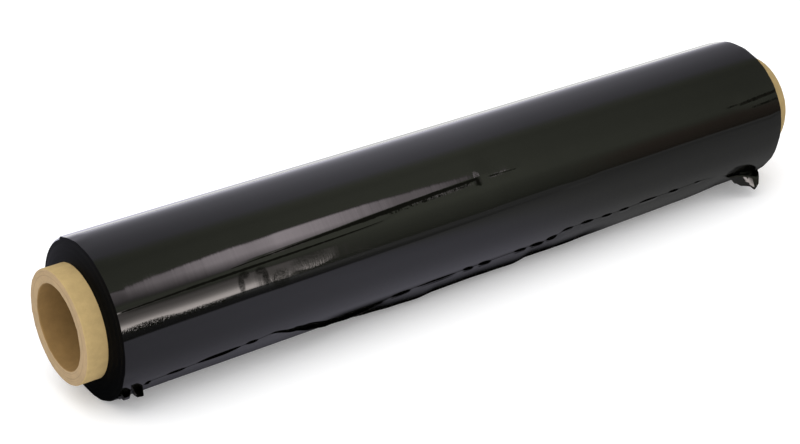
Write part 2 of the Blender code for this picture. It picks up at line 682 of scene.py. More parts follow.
@dataclass(frozen=True)
class PaleFloor:
    """A matt white studio floor.

    Glossy rays don't see the lit floor: they see a painted reflection, an emission whose
    brightness is painted by place. It is dimmer than the floor, turns dark beyond a line
    across the floor, and holds a painted shadow that deepens under the roll.
    """

    colour: tuple[float, float, float] = (0.90, 0.90, 0.90)
    glow: float = 0.20
    lit_tint: tuple[float, float, float] = (1.0, 0.98, 1.16)
    along: tuple[tuple[float, float], ...] = (
        (-0.40, 0.60), (-0.205, 0.61), (-0.107, 0.72), (-0.053, 0.76), (0.004, 0.73), (0.058, 0.66),
        (0.110, 0.56), (0.165, 0.48), (0.220, 0.43), (0.272, 0.40), (0.400, 0.36),
    )
    # Painted shadow: the reflection dims close to the roll and is darkest under it.
    away: tuple[tuple[float, float], ...] = (
        (0.0, 0.03), (0.020, 0.07), (0.024, 0.16), (0.028, 0.24), (0.033, 0.44), (0.039, 0.62),
        (0.045, 0.70), (0.053, 0.80), (0.117, 1.0), (0.150, 1.0),
    )
    painted_dark_line_at: float = 0.264
    painted_dark_line_slope: float = 0.29
    painted_dark_beyond: tuple[tuple[float, float], ...] = (
        (0.25, 0.14), (0.40, 0.18), (0.70, 0.22), (1.2, 0.30), (2.0, 0.38),
    )
    painted_dark_along: tuple[tuple[float, float], ...] = (
        (-0.15, 0.35), (0.0, 0.60), (0.15, 1.2), (0.40, 1.9), (0.80, 1.3), (1.5, 1.1),
    )
    behind: tuple[tuple[float, float], ...] = (
        (0.02, 0.05), (0.04, 0.45), (0.06, 0.60), (0.25, 0.80), (0.45, 1.2), (0.70, 1.7), (1.30, 2.0),
    )

    def material(self) -> bpy.types.Material:
        """Build the node material.

        Returns:
            The material.
        """
        material, graph = new_graph("pale_floor")
        x, y, _ = graph.place()
        paint = graph.principled({
            "Base Color": (*self.colour, 1.0), "Roughness": 0.95, "Specular IOR Level": 0.1,
            "Emission Color": (1.0, 1.0, 1.0, 1.0), "Emission Strength": self.glow,
        })
        distance = y.absolute()
        level = graph.read_off(x, self.along) * graph.read_off(distance, self.away)
        # Painted shadow: darker still close under the slack film's middle.
        painted_shade_span = x.step_between(-0.12, -0.09) * x.step_between(0.13, 0.09)
        level = level * (1.0 - painted_shade_span * distance.step_between(0.040, 0.028))
        # Painted dark band: beyond this line across the floor the reflection turns dark.
        line = (x + 0.140) * self.painted_dark_line_slope + self.painted_dark_line_at
        beyond = (distance - line).step_between(-0.02, 0.02)
        far = graph.read_off(distance, self.painted_dark_beyond) * graph.read_off(x, self.painted_dark_along)
        level = level * (1.0 - beyond) + beyond * far
        at_back = y.step_between(0.0, 0.01)
        level = level * (1.0 - at_back) + at_back * graph.read_off(y, self.behind)
        tint = graph.blend(x.step_between(0.02, 0.16), (*self.lit_tint, 1.0), (1.0, 1.0, 1.0, 1.0))
        # Painted reflection: glossy rays see this emission in place of the lit floor.
        glow = graph.node("ShaderNodeEmission", None, {0: tint, 1: level})
        rays = graph.node("ShaderNodeLightPath")
        seen = graph.node("ShaderNodeMixShader", None, {
            0: rays.outputs["Is Glossy Ray"], 1: paint, 2: glow.outputs[0],
        })
        graph.surface(seen.outputs[0])
        return material


# ---------------------------------------------------------------------------
# Modelling by hand, in code
# ---------------------------------------------------------------------------


class Bench:
    """The modelling steps that the pieces share."""

    @staticmethod
    def clear_selection() -> None:
        """Leave edit mode and select nothing."""
        if bpy.context.mode != "OBJECT":
            bpy.ops.object.mode_set(mode="OBJECT")
        bpy.ops.object.select_all(action="DESELECT")

    @staticmethod
    def newest(name: str) -> bpy.types.Object:
        """Name the object that was just added.

        Args:
            name: Its name.

        Returns:
            The object.
        """
        made = bpy.context.view_layer.objects.active
        made.name = name
        made.data.name = name
        return made

    @staticmethod
    def tube_blank(
        name: str, near: float, far: float, radius: float, height: float, sides: int
    ) -> bpy.types.Object:
        """A closed cylinder along X, in edit mode with nothing selected.

        Args:
            name: The piece's name.
            near: Its lower end along X.
            far: Its upper end along X.
            radius: Its radius.
            height: The height of its axis.
            sides: How many sides it has.

        Returns:
            The object.
        """
        Bench.clear_selection()
        bpy.ops.mesh.primitive_cylinder_add(
            vertices=sides,
            radius=radius,
            depth=far - near,
            end_fill_type="NGON",
            location=((near + far) / 2, 0.0, height),
            rotation=(0.0, math.pi / 2, 0.0),
        )
        made = Bench.newest(name)
        bpy.ops.object.transform_apply(location=True, rotation=True, scale=True)
        bpy.ops.object.mode_set(mode="EDIT")
        bpy.ops.mesh.select_mode(type="FACE")
        bpy.ops.mesh.select_all(action="DESELECT")
        return made

    @staticmethod
    def select_faces(piece: bpy.types.Object, wanted: Callable[[bmesh.types.BMFace], bool]) -> int:
        """Select only the faces that pass a test.

        Args:
            piece: The object in edit mode.
            wanted: The test.

        Returns:
            How many were selected.
        """
        bpy.ops.mesh.select_mode(type="FACE")
        bpy.ops.mesh.select_all(action="DESELECT")
        mesh = bmesh.from_edit_mesh(piece.data)
        chosen = [face for face in mesh.faces if wanted(face)]
        for face in chosen:
            face.select_set(True)
        bmesh.update_edit_mesh(piece.data)
        return len(chosen)

    @staticmethod
    def select_edges(piece: bpy.types.Object, wanted: Callable[[bmesh.types.BMEdge], bool]) -> int:
        """Select only the edges that pass a test.

        Args:
            piece: The object in edit mode.
            wanted: The test.

        Returns:
            How many were selected.
        """
        bpy.ops.mesh.select_mode(type="EDGE")
        bpy.ops.mesh.select_all(action="DESELECT")
        mesh = bmesh.from_edit_mesh(piece.data)
        chosen = [edge for edge in mesh.edges if wanted(edge)]
        for edge in chosen:
            edge.select_set(True)
        bmesh.update_edit_mesh(piece.data)
        return len(chosen)

    @staticmethod
    def bore_through(piece: bpy.types.Object, near: float, far: float) -> None:
        """Delete the two end discs and bridge their edges into a bore.

        Args:
            piece: The object in edit mode.
            near: The lower end along X; not used.
            far: The upper end along X; not used.
        """
        Bench.select_faces(piece, lambda face: len(face.verts) > 4)
        bpy.ops.mesh.delete(type="ONLY_FACE")
        Bench.select_edges(piece, lambda edge: edge.is_boundary)
        bpy.ops.mesh.bridge_edge_loops()

    @staticmethod
    def cut_lengthwise(piece: bpy.types.Object, cuts: int, least: float, beyond: float) -> None:
        """Cut every long edge along X into equal lengths.

        Args:
            piece: The object in edit mode.
            cuts: How many cuts.
            least: Edges shorter than this stay whole.
            beyond: Edges nearer the axis than this stay whole.
        """
        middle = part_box("cardboard_core")
        height = (middle[0].z + middle[1].z) / 2

        def runs_along(edge: bmesh.types.BMEdge) -> bool:
            """Whether the edge is long and lies along X."""
            spot = edge.verts[0].co
            return (abs(spot.x - edge.verts[1].co.x) > least
                    and math.hypot(spot.y, spot.z - height) >= beyond)

        Bench.select_edges(piece, runs_along)
        bpy.ops.mesh.subdivide(number_cuts=cuts)

    @staticmethod
    def points(piece: bpy.types.Object) -> np.ndarray:
        """The mesh's points, in object mode.

        Args:
            piece: The object.

        Returns:
            One row for each point.
        """
        found = np.empty(len(piece.data.vertices) * 3)
        piece.data.vertices.foreach_get("co", found)
        return found.reshape(-1, 3)

    @staticmethod
    def move_points(piece: bpy.types.Object, places: np.ndarray) -> None:
        """Put the mesh's points at new places.

        Args:
            piece: The object.
            places: One row for each point.
        """
        piece.data.vertices.foreach_set("co", places.reshape(-1))
        piece.data.update()

    @staticmethod
    def apply(piece: bpy.types.Object, kind: str, settings: dict[str, object]) -> None:
        """Add a modifier and apply it.

        Args:
            piece: The object.
            kind: The modifier's type.
            settings: Its attributes.
        """
        Bench.clear_selection()
        bpy.context.view_layer.objects.active = piece
        piece.select_set(True)
        added = piece.modifiers.new(kind.lower(), kind)
        for name, value in settings.items():
            setattr(added, name, value)
        bpy.ops.object.modifier_apply(modifier=added.name)

    @staticmethod
    def smooth(piece: bpy.types.Object, degrees: float) -> None:
        """Shade smooth, with edges sharper than this left hard.

        Args:
            piece: The object.
            degrees: The sharpest edge that is smoothed over.
        """
        Bench.clear_selection()
        bpy.context.view_layer.objects.active = piece
        piece.select_set(True)
        bpy.ops.object.shade_smooth_by_angle(angle=math.radians(degrees))

    @staticmethod
    def paint(piece: bpy.types.Object, materials: Iterable[bpy.types.Material]) -> None:
        """Give the piece these materials in order.

        Args:
            piece: The object.
            materials: Its materials.
        """
        piece.data.materials.clear()
        for material in materials:
            piece.data.materials.append(material)

    @staticmethod
    def hand_over(piece: bpy.types.Object, slot: Slot, *nodes: str) -> None:
        """Tie a finished piece to the frame.

        Args:
            piece: The piece.
            slot: The record's material slot; not used.
            nodes: The frame's solids that it stands in for.
        """
        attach(piece, "root")
        if nodes:
            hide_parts(*nodes)
        piece.data.calc_loop_triangles()
        log.info("%s: %d triangles", piece.name, len(piece.data.loop_triangles))


# ---------------------------------------------------------------------------
# The pieces
# ---------------------------------------------------------------------------


@dataclass
class PaperCore:
    """The cardboard tube that the film is wound on."""

    sizes: RollSizes
    bore_radius: float = 0.0250
    rim_round: float = 0.0010
    sides: int = 192
    lengths: int = 60
    wobble: Ripples = Ripples(5, 9, 0.02, 0.09, 9, 0.00005)

    def build(self) -> bpy.types.Object:
        """Model the tube: bore it, round the rims and roughen it a little.

        Returns:
            The finished piece.
        """
        s = self.sizes
        tube = Bench.tube_blank(
            "paper_core", s.core_near, s.core_far, s.core_radius, s.axis_height, self.sides
        )
        Bench.select_faces(tube, lambda face: len(face.verts) > 4)
        bpy.ops.mesh.inset(thickness=s.core_radius - self.bore_radius)
        Bench.bore_through(tube, s.core_near, s.core_far)
        ends = (s.core_near, s.core_far)

        def on_rim(edge: bmesh.types.BMEdge) -> bool:
            """Whether both ends of the edge are on one end face and on its border."""
            near_end = all(min(abs(v.co.x - end) for end in ends) < 1e-5 for v in edge.verts)
            return near_end and edge.calc_face_angle(0.0) > 0.5

        Bench.select_edges(tube, on_rim)
        bpy.ops.mesh.bevel(offset=self.rim_round, segments=4, affect="EDGES")
        Bench.cut_lengthwise(tube, self.lengths, 0.1, 0.0)
        bpy.ops.object.mode_set(mode="OBJECT")
        self.roughen(tube)
        self.dress(tube)
        Bench.smooth(tube, 60)
        Bench.hand_over(tube, Slot.KRAFT, "cardboard_core")
        return tube

    def roughen(self, tube: bpy.types.Object) -> None:
        """Make the wound tube slightly uneven, most of all at its cut rims.

        Args:
            tube: The tube.
        """
        s = self.sizes
        places = Bench.points(tube)
        up = places[:, 2] - s.axis_height
        angle = np.arctan2(up, -places[:, 1])
        radius = np.hypot(up, places[:, 1])
        to_end = np.minimum(places[:, 0] - s.core_near, s.core_far - places[:, 0])
        at_rim = smooth_step(0.003, 0.0, to_end)
        new_radius = radius + self.wobble.at(places[:, 0], angle)
        frayed = Ripples(8, 14, 0.02, 0.05, 48, 0.00007).at(radius * 3, angle)
        places[:, 0] += np.sign(places[:, 0]) * frayed * at_rim
        places[:, 1] = -new_radius * np.cos(angle)
        places[:, 2] = s.axis_height + new_radius * np.sin(angle)
        Bench.move_points(tube, places)

    def dress(self, tube: bpy.types.Object) -> None:
        """Smooth liner outside, bare plies on the cut ends and a darker colour in the bore.

        Args:
            tube: The tube.
        """
        s = self.sizes
        Bench.paint(tube, [
            KraftPaper("kraft_liner", s.axis_height, (0.465, 0.335, 0.148)).material(),
            KraftPaper("cut_plies", s.axis_height, (0.410, 0.290, 0.160), 0.00008, 0.00025).material(),
            KraftPaper("bore_board", s.axis_height, (0.300, 0.182, 0.066), 0.00006).material(),
        ])
        for face in tube.data.polygons:
            up = face.center.z - s.axis_height
            outwards = up * face.normal.z + face.center.y * face.normal.y
            if abs(face.normal.x) > 0.6:
                face.material_index = 1
            else:
                face.material_index = 0 if outwards > 0 else 2


@dataclass(frozen=True)
class Ledge:
    """A fold line in the film: a small step that faces down, with long easy slopes beside it.

    Its line is given as places along the roll and the angle at each.
    """

    line: tuple[tuple[float, float], ...]
    height: float
    width: float
    fade_in: float = 0.010
    fade_out: float = 0.010
    below: float = 35.0
    above: float = 45.0


@dataclass(frozen=True)
class FilmSurface:
    """How the outermost turn's surface departs from a true cylinder."""

    sizes: RollSizes
    broad: Ripples = Ripples(21, 12, 0.14, 0.60, 4, 0.00004)
    fine: Ripples = Ripples(22, 14, 0.03, 0.12, 12, 0.000008)
    end_curl: float = 0.00020
    ledges: tuple[Ledge, ...] = (
        Ledge(((-0.250, 28.2), (-0.205, 29.5), (-0.176, 30.0), (-0.113, 30.8), (-0.082, 31.3),
               (-0.064, 34.6)), 0.00012, 1.0, 0.010, 0.008, 14.0, 14.0),
        Ledge(((-0.145, 34.6), (-0.138, 35.0), (-0.105, 36.2), (-0.088, 37.3), (-0.055, 38.5),
               (-0.026, 39.5), (-0.004, 40.4)), 0.00040, 2.0, 0.026, 0.012),
        Ledge(((0.004, 39.0), (0.009, 39.0)), 0.00020, 1.0, 0.003, 0.003, 6.0, 6.0),
        Ledge(((0.018, 38.6), (0.022, 38.4)), 0.00020, 1.0, 0.003, 0.003, 6.0, 6.0),
        Ledge(((0.062, 12.0), (0.081, 12.2)), 0.00010, 0.9, 0.005, 0.005, 8.0, 8.0),
        Ledge(((0.220, 32.0), (0.232, 32.9), (0.250, 33.8)), 0.00025, 1.6, 0.006, 0.003, 12.0, 12.0),
    )

    def departure(self, x: np.ndarray, angle: np.ndarray) -> np.ndarray:
        """How far the film stands off the true cylinder.

        Args:
            x: Places along the roll.
            angle: Angles round it, in radians.

        Returns:
            Distances in metres.
        """
        s = self.sizes
        to_end = np.minimum(x - s.film_near, s.film_far - x)
        curl = Ripples(31, 10, 0.05, 0.2, 30, self.end_curl).at(x, angle)
        at_end = smooth_step(0.004, 0.0, to_end)
        total = self.broad.at(x, angle) + self.fine.at(x, angle) + (curl - self.end_curl) * at_end
        degrees = np.degrees(angle)
        for ledge in self.ledges:
            total = total + self.ledge_height(ledge, x, degrees)
        return total

    def ledge_height(self, ledge: Ledge, x: np.ndarray, degrees: np.ndarray) -> np.ndarray:
        """One ledge's height: it sinks towards its line from below, steps up and eases back.

        Args:
            ledge: The ledge.
            x: Places along the roll.
            degrees: Angles round it, in degrees.

        Returns:
            Heights in metres.
        """
        places, angles = zip(*ledge.line)
        line = np.interp(x, places, angles)
        fade = smooth_step(places[0] - ledge.fade_in, places[0], x)
        fade = fade * smooth_step(places[-1] + ledge.fade_out, places[-1], x)
        half = ledge.width / 2
        step = np.clip((degrees - line + half) / ledge.width, 0, 1) - 0.5
        sunk = smooth_step(line - half - ledge.below, line - half, degrees)
        raised = smooth_step(line + half + ledge.above, line + half, degrees)
        return ledge.height * fade * step * np.where(degrees < line, sunk, raised)

    def place(self, x: np.ndarray, angle: np.ndarray, stand_off: np.ndarray) -> np.ndarray:
        """Points above the film's surface.

        Args:
            x: Places along the roll.
            angle: Angles round it, in radians.
            stand_off: Distances above the surface.

        Returns:
            One row for each point.
        """
        radius = self.sizes.film_radius + self.departure(x, angle) + stand_off
        y = -radius * np.cos(angle)
        z = self.sizes.axis_height + radius * np.sin(angle)
        return np.stack(np.broadcast_arrays(x, y, z), axis=-1)


@dataclass
class WoundFilm:
    """All the turns of film, from the core out, with their edges at both ends."""

    sizes: RollSizes
    surface: FilmSurface
    sides: int = 340
    lengths: int = 260
    end_rings: int = 9
    core_gap: float = 0.0002
    ring_steps: tuple[float, ...] = (0.0002, -0.0003, 0.0001, 0.0003, -0.0002, 0.0002, -0.0001, -0.0002)
    creased_from: float = 8.0
    creased_to: float = 52.0
    crowding: float = 4.0
    set_back: float = 0.0015

    def build(self) -> bpy.types.Object:
        """Model the turns: rings on the ends, the bore, then the surface's true shape.

        Returns:
            The finished piece.
        """
        s = self.sizes
        roll = Bench.tube_blank(
            "wound_film", s.film_near, s.film_far, s.film_radius, s.axis_height, self.sides
        )
        bore = s.core_radius + self.core_gap
        ring = (s.film_radius - bore) / self.end_rings
        for step in (*self.ring_steps, 0.0):
            Bench.select_faces(roll, lambda face: len(face.verts) > 4)
            bpy.ops.mesh.inset(thickness=ring, depth=step)
        Bench.bore_through(roll, s.film_near, s.film_far)
        Bench.cut_lengthwise(roll, self.lengths, 0.1, s.film_radius - 0.001)
        bpy.ops.object.mode_set(mode="OBJECT")
        self.shape(roll)
        self.dress(roll)
        Bench.smooth(roll, 40)
        Bench.hand_over(roll, Slot.FILM, "film_roll")
        return roll

    def crowd(self, angle: np.ndarray) -> np.ndarray:
        """Move the sides closer together over the creased front.

        Args:
            angle: Angles round the roll, in radians, evenly spaced.

        Returns:
            The angles that they move to.
        """
        marks = np.radians([-180.0, self.creased_from, self.creased_to, 180.0])
        spans = np.diff(marks) * np.array([1.0, self.crowding, 1.0])
        shares = np.concatenate([[0.0], np.cumsum(spans)]) / spans.sum()
        return np.interp((angle + math.pi) / (2 * math.pi), shares, marks)

    def shape(self, roll: bpy.types.Object) -> None:
        """Give the outside its creases and flat spot, and make the ends shallow cones.

        Args:
            roll: The roll.
        """
        s = self.sizes
        places = Bench.points(roll)
        up = places[:, 2] - s.axis_height
        radius = np.hypot(up, places[:, 1])
        outside = radius > s.film_radius - 0.0001
        angle = self.crowd(np.arctan2(up, -places[:, 1]))
        inwards = np.clip((s.film_radius - radius) / (s.film_radius - s.core_radius), 0, 1)
        places[:, 0] += np.sign(places[:, 0]) * s.end_swell * inwards
        places[:, 1] = -radius * np.cos(angle)
        places[:, 2] = s.axis_height + radius * np.sin(angle)
        moved = self.surface.place(places[:, 0], angle, np.zeros(len(places)))
        back = (np.degrees(angle) > 117) | (np.degrees(angle) < -150)
        moved[:, 0] += self.set_back * back * smooth_step(s.film_near + 0.012, s.film_near, moved[:, 0])
        places[outside] = moved[outside]
        places[:, 2] = np.maximum(places[:, 2], 0.0)
        Bench.move_points(roll, places)

    def dress(self, roll: bpy.types.Object) -> None:
        """Glossy film round the outside, cut edges on the ends.

        Args:
            roll: The roll.
        """
        s = self.sizes
        Bench.paint(roll, [BlackFilm(s.axis_height).material(), CutFilmEdges(s.axis_height).material()])
        for face in roll.data.polygons:
            face.material_index = 1 if abs(face.normal.x) > 0.6 else 0


@dataclass(frozen=True)
class Lift:
    """A stretch where the film's free edge stands off the turns below."""

    start: float
    end: float
    height: float


@dataclass(frozen=True)
class Peel:
    """A scrap of the free edge that has come away and bent outwards."""

    start: float
    end: float
    ramp: float
    hinge_angle: float
    turn: float
    crumple: float


@dataclass(frozen=True)
class FoldedCorner:
    """The free corner at the far end, which lifts off the roll, folds over and hangs.

    Its path is across the roll, from where the film leaves the turns to its tip, as
    distances in front of the axis and heights.
    """

    path: tuple[tuple[float, float], ...] = (
        (-0.0337, 0.0132), (-0.0369, 0.0159), (-0.0386, 0.0172), (-0.0399, 0.0178), (-0.0408, 0.0177),
        (-0.0415, 0.0170), (-0.0421, 0.0152), (-0.0427, 0.0132), (-0.0432, 0.0112), (-0.0434, 0.0092),
        (-0.0430, 0.0056),
    )
    apex_point: int = 3
    shut_gap: float = 0.0004
    places: tuple[float, ...] = (
        0.184, 0.198, 0.206, 0.211, 0.217, 0.222, 0.227, 0.231, 0.235, 0.238, 0.241, 0.244,
    )
    folded: tuple[float, ...] = (0.0, 0.25, 0.60, 1.0, 1.0, 1.0, 1.0, 1.0, 1.0, 1.0, 1.0, 0.0)
    opening: tuple[float, ...] = (0.0, 0.55, 0.60, 0.64, 0.70, 0.84, 0.98, 1.08, 1.00, 0.60, 0.05, 0.0)
    hanging: tuple[float, ...] = (
        0.0, 0.0, 0.0004, 0.0020, 0.0082, 0.0096, 0.0086, 0.0096, 0.0056, 0.0022, 0.0, 0.0,
    )
    pushed_out: tuple[float, ...] = (-3.0, -3.0, -2.6, -2.2, -1.6, -0.4, 1.0, 2.6, 4.6, 7.0, 10.0, 12.0)
    turns_from: float = 0.5

    def place(self, share: np.ndarray, x: np.ndarray, sizes: RollSizes) -> np.ndarray:
        """Where the corner's film lies from where it leaves the roll to its free edge.

        Args:
            share: 0 at the sheet's lower start and 1 at the free edge.
            x: Places along the roll.
            sizes: The roll's sizes.

        Returns:
            One row for each point.
        """
        track = np.array(self.path)
        lengths = np.concatenate([[0.0], np.cumsum(np.hypot(*np.diff(track, axis=0).T))])
        full = lengths[self.apex_point] + eased(self.places, self.hanging, x)
        gone = np.clip((share - self.turns_from) / (1 - self.turns_from), 0, 1) * full
        from_axis = np.interp(gone, lengths, track[:, 0])
        from_level = np.interp(gone, lengths, track[:, 1]) - sizes.axis_height
        pushed = np.sin(np.radians(eased(self.places, self.pushed_out, x)))
        y = from_axis + from_level * pushed
        up = from_level + from_axis * pushed
        shut = (sizes.film_radius + self.shut_gap) / np.hypot(y, up)
        scale = shut + (1 - shut) * np.interp(x, self.places, self.opening)
        return np.stack([x, y * scale, sizes.axis_height + up * scale], axis=-1)


@dataclass
class SlackEnd:
    """The free end of the outermost turn, which comes up the front from below."""

    sizes: RollSizes
    surface: FilmSurface
    corner: FoldedCorner = FoldedCorner()
    columns: int = 620
    rows: int = 60
    starts_at: float = -80.0
    corner_leaves_at: float = -45.0
    skin: float = 0.00013
    thickness: float = 0.00012
    lip: float = 3.2
    edge_line: tuple[tuple[float, float], ...] = (
        (-0.250, -36.0), (-0.243, -38.0), (-0.2365, -37.5), (-0.231, -34.5), (-0.217, -33.5), (-0.190, -31.5), (-0.168, -29.5),
        (-0.155, -27.5), (-0.138, -33.5), (-0.128, -37.0), (-0.110, -44.0), (-0.095, -48.0),
        (-0.085, -46.0), (-0.075, -40.0), (-0.066, -37.0), (-0.050, -35.5), (-0.036, -35.0),
        (-0.012, -34.5), (0.002, -35.0), (0.025, -34.5), (0.047, -34.5), (0.053, -33.0),
        (0.065, -27.0), (0.081, -26.5), (0.098, -27.5), (0.113, -27.5), (0.133, -26.0),
        (0.156, -26.0), (0.178, -25.5), (0.200, -26.0), (0.233, -32.0), (0.239, -44.0),
        (0.250, -50.0),
    )
    slack_line: tuple[tuple[float, float], ...] = (
        (-0.250, 0.0001), (-0.115, 0.0003), (-0.095, 0.0009), (-0.078, 0.0022), (-0.060, 0.0031),
        (-0.042, 0.0037), (-0.030, 0.0029), (0.000, 0.0028), (0.014, 0.0031), (0.032, 0.0035),
        (0.044, 0.0022), (0.074, 0.0025), (0.094, 0.0021), (0.137, 0.0017), (0.181, 0.0013),
        (0.203, 0.0011), (0.250, 0.0005),
    )
    lifts: tuple[Lift, ...] = (
        Lift(-0.2350, -0.2318, 0.0007), Lift(-0.222, -0.210, 0.0006), Lift(-0.203, -0.175, 0.0009),
        Lift(-0.172, -0.164, 0.0008), Lift(-0.156, -0.112, 0.0012), Lift(-0.138, -0.074, 0.0017),
        Lift(-0.069, -0.055, 0.0009), Lift(-0.051, -0.021, 0.0005), Lift(-0.016, -0.008, 0.0010),
        Lift(-0.004, 0.006, 0.0011), Lift(0.024, 0.034, 0.0008), Lift(0.037, 0.048, 0.0010),
        Lift(0.050, 0.058, 0.0011), Lift(0.061, 0.070, 0.0007), Lift(0.076, 0.087, 0.0009),
        Lift(0.094, 0.103, 0.0008), Lift(0.109, 0.118, 0.0007), Lift(0.126, 0.142, 0.0006),
        Lift(0.152, 0.161, 0.0008), Lift(0.175, 0.181, 0.0004),
    )
    peels: tuple[Peel, ...] = (
        Peel(-0.2422, -0.2372, 0.0010, -46.0, 42.0, 0.0002),
        Peel(-0.2510, -0.2450, 0.0020, -50.0, 16.0, 0.0006),
    )

    def build(self) -> bpy.types.Object:
        """Lay a flat grid along the roll's front and give it the film's thickness.

        Returns:
            The finished piece.
        """
        s = self.sizes
        Bench.clear_selection()
        bpy.ops.mesh.primitive_grid_add(
            x_subdivisions=self.columns, y_subdivisions=self.rows, size=1.0
        )
        sheet = Bench.newest("slack_film_end")
        flat = Bench.points(sheet)
        x = s.film_near + (flat[:, 0] + 0.5) * (s.film_far - s.film_near)
        share = 1 - (0.5 - flat[:, 1]) ** 1.35
        Bench.move_points(sheet, self.lie(x, share))
        Bench.apply(sheet, "SOLIDIFY", {"thickness": self.thickness, "offset": -1.0})
        Bench.paint(sheet, [BlackFilm(s.axis_height).material()])
        Bench.smooth(sheet, 60)
        Bench.hand_over(sheet, Slot.FILM)
        mean_edge = float(np.mean([angle for _, angle in self.edge_line]))
        length = math.radians(mean_edge - self.starts_at) * s.film_radius
        return sheet

    def lie(self, x: np.ndarray, share: np.ndarray) -> np.ndarray:
        """Where each point of the sheet lies.

        Args:
            x: Places along the roll.
            share: 0 at the lower start and 1 at the free edge.

        Returns:
            One row for each point.
        """
        edge = eased(*zip(*self.edge_line), x)
        degrees = self.starts_at + (edge - self.starts_at) * share
        slack = eased(*zip(*self.slack_line), x)
        belly = np.sin(math.pi * np.clip(share, 0, 1) ** 0.9) ** 1.2
        stand_off = self.skin + slack * belly
        near_edge = smooth_step(self.lip, 0.0, edge - degrees)
        for lift in self.lifts:
            along = np.clip(4 * (x - lift.start) * (lift.end - x) / (lift.end - lift.start) ** 2, 0, 1)
            stand_off = stand_off + lift.height * along**0.7 * near_edge
        angle = np.radians(degrees)
        places = self.surface.place(x, angle, stand_off)
        for peel in self.peels:
            places = self.peel_back(places, peel, x, angle)
        places = self.fold_corner(places, x, share)
        places[:, 2] = np.maximum(places[:, 2], 0.0004)
        return places

    def fold_corner(self, places: np.ndarray, x: np.ndarray, share: np.ndarray) -> np.ndarray:
        """Lift the far corner off the roll and fold it over.

        Args:
            places: The points so far.
            x: Places along the roll.
            share: 0 at the lower start and 1 at the free edge.

        Returns:
            The points with the corner folded.
        """
        below = np.clip(share / self.corner.turns_from, 0, 1)
        angle = np.radians(self.starts_at + (self.corner_leaves_at - self.starts_at) * below)
        root = self.surface.place(x, angle, np.full_like(x, self.skin))
        hanging = self.corner.place(share, x, self.sizes)
        corner = np.where((share > self.corner.turns_from)[:, None], hanging, root)
        weight = np.interp(x, self.corner.places, self.corner.folded)[:, None]
        return places * (1 - weight) + corner * weight

    def peel_back(
        self, places: np.ndarray, peel: Peel, x: np.ndarray, angle: np.ndarray
    ) -> np.ndarray:
        """Bend one scrap of the free edge outwards about a line on the roll.

        Args:
            places: The points so far.
            peel: The scrap.
            x: Places along the roll.
            angle: Angles round it, in radians.

        Returns:
            The points with the scrap bent out.
        """
        s = self.sizes
        ramp = smooth_step(peel.start, peel.start + peel.ramp, x)
        ramp = ramp * smooth_step(peel.end + peel.ramp, peel.end, x)
        hinge = math.radians(peel.hinge_angle)
        beyond = np.maximum(angle - hinge, 0) * s.film_radius
        heading = np.radians(peel.turn) * ramp * smooth_step(0, 0.003, beyond)
        rising = np.array([0.0, math.sin(hinge), math.cos(hinge)])
        outwards = np.array([0.0, -math.cos(hinge), math.sin(hinge)])
        base = self.surface.place(x, np.full_like(x, hinge), np.full_like(x, self.skin))
        creases = Ripples(41, 9, 0.008, 0.022, 60, 1.0).at(x, angle)
        wrinkle = peel.crumple * creases * smooth_step(0.0, 0.008, beyond)
        bent = (
            base
            + rising * (beyond * np.cos(heading) - wrinkle * np.sin(heading))[:, None]
            + outwards * (beyond * np.sin(heading) + wrinkle * np.cos(heading))[:, None]
        )
        weight = (ramp * (beyond > 0))[:, None]
        return places * (1 - weight) + bent * weight


# ---------------------------------------------------------------------------
# The studio
# ---------------------------------------------------------------------------


